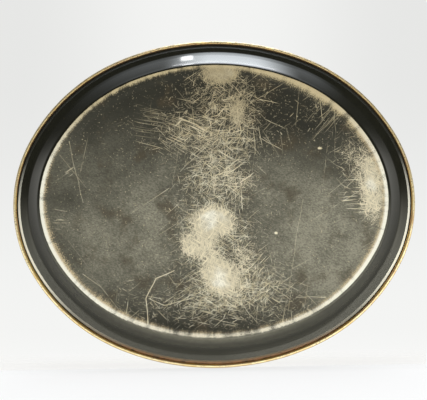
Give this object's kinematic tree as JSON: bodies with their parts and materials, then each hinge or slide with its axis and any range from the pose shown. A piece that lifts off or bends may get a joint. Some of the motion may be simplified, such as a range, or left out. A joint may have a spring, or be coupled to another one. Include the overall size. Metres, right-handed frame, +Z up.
{
  "type": "serving tray",
  "caption": "Shallow oval serving tray pressed from enamelled sheet steel, with a sloping wall, a flange and a gilt rim rolled over an iron wire.",
  "frame": {"origin": "middle of the plane that the foot ring rests on", "axes": "+X along the oval's length, +Y across it, +Z up out of the tray, normal to the panel"},
  "size_m": [0.419, 0.3428, 0.0254],
  "materials": {
    "enamelled_sheet": "worn black enamel with a gilt rim",
    "iron_wire": "dull drawn iron wire with a brown oxide film"
  },
  "bodies": {
    "root": {"tray_pan": "enamelled_sheet", "rim_wire": "iron_wire"}
  },
  "joints": []
}
